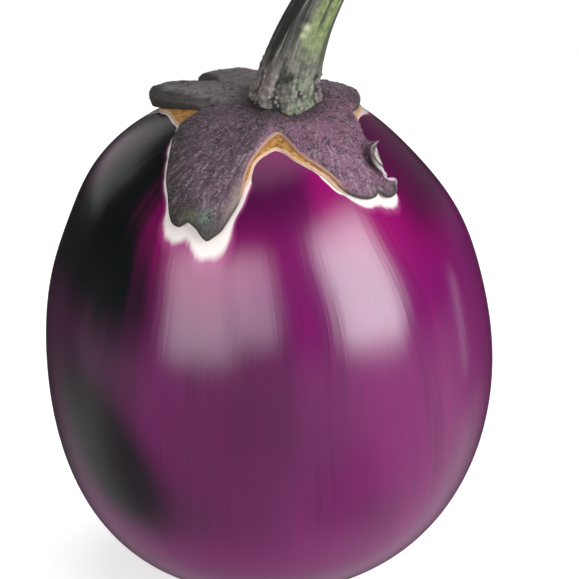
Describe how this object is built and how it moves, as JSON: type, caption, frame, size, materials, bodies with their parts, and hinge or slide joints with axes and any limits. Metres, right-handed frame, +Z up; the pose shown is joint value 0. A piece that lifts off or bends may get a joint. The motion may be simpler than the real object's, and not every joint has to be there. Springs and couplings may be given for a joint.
{
  "type": "eggplant",
  "caption": "Round, glossy purple eggplant with its leathery lobed calyx and a ribbed, curved length of stem, standing on its blossom end.",
  "frame": {"origin": "on the table, below the middle of the eggplant's bounding box", "axes": "+Z up, towards the stem; -Y towards the front, where the fruit leans and the calyx's largest lobe hangs; +X towards the side that the stem bends to"},
  "size_m": [0.1124, 0.114, 0.1751],
  "materials": {
    "skin": "smooth, waxy and glossy",
    "calyx": "leathery and finely wrinkled",
    "stem": "ribbed and dull"
  },
  "bodies": {
    "root": {"fruit": "skin", "calyx": "calyx", "stem": "stem"}
  },
  "joints": []
}
